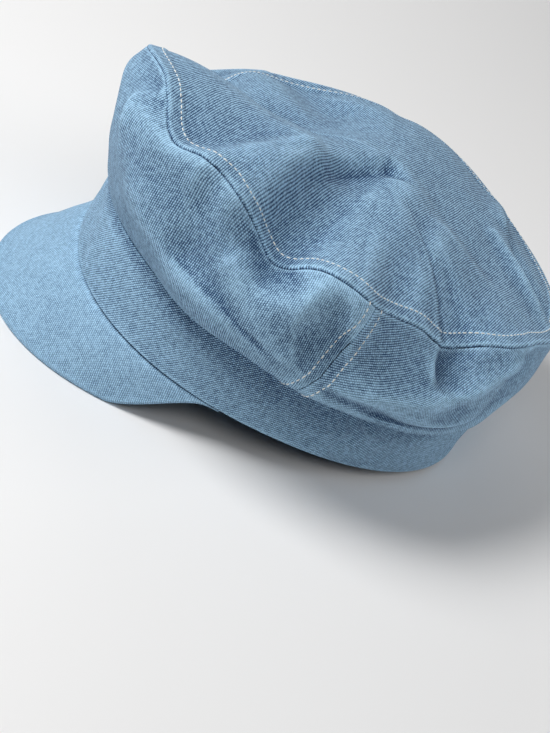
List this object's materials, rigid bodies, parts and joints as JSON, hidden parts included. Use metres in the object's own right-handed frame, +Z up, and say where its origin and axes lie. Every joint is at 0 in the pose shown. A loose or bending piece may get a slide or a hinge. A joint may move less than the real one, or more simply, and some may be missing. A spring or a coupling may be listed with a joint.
{
  "type": "cadet cap",
  "caption": "Soft denim cadet cap with a full slouching crown, an oval top panel, a plain upright band and a short stiff peak, lying on its peak and band.",
  "frame": {"origin": "on the floor under the middle of the cap's box, with the cap lying on the peak's edge and the back of the band", "axes": "+X to the wearer's left, +Y to the back of the cap, +Z up; the peak points along -Y"},
  "size_m": [0.229, 0.265, 0.1366],
  "materials": {
    "denim_crown": "light blue washed cotton twill, matt, with a slight nap",
    "denim_band": "light blue washed cotton twill, matt, with a slight nap",
    "denim_peak": "light blue washed cotton twill over a stiff core, matt"
  },
  "bodies": {
    "root": {"top_panel": "denim_crown", "side_front": "denim_crown", "side_back": "denim_crown", "band": "denim_band", "peak": "denim_peak"}
  },
  "joints": []
}
